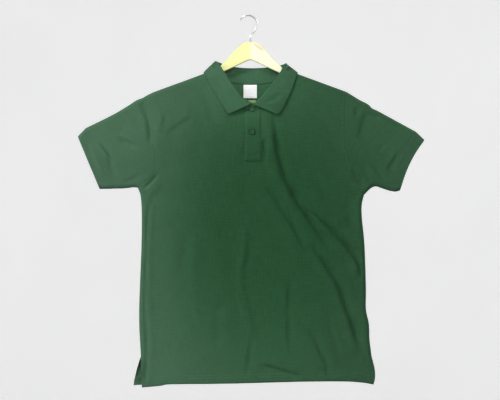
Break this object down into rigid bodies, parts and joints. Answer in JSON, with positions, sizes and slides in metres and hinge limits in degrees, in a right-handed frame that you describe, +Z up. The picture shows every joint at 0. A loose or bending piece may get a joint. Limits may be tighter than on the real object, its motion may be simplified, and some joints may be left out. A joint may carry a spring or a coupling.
{
  "type": "short-sleeved polo shirt on a wooden hanger",
  "caption": "Short-sleeved cotton polo shirt with ribbed collar and cuffs, buttoned placket and side vents, hanging flat on a wooden hanger with a wire hook.",
  "frame": {"origin": "inside of the hook's crown, straight above the hook's stem, where a rail or peg carries the hanger", "axes": "+Z up, -Y towards a viewer who faces the shirt's front, +X to that viewer's right"},
  "size_m": [0.8161, 0.0446, 0.8769],
  "materials": {
    "pique": "matt bottle-green cotton pique, soft sheen",
    "rib": "matt bottle-green flat-knit rib",
    "button": "polished dark green",
    "label": "white woven tape, bare",
    "tab": "yellow-green woven tape, bare",
    "wood": "pale lacquered wood, satin",
    "wire": "plated steel wire, polished"
  },
  "bodies": {
    "root": {"front_panel": "pique", "back_panel": "pique", "left_sleeve": "pique", "right_sleeve": "pique", "left_cuff": "rib", "right_cuff": "rib", "collar": "rib", "placket_top": "pique", "placket_under": "pique", "top_button": "button", "lower_button": "button", "neck_label": "label", "size_tab": "tab", "hanger_wood": "wood", "hanger_hook": "wire"}
  },
  "joints": []
}
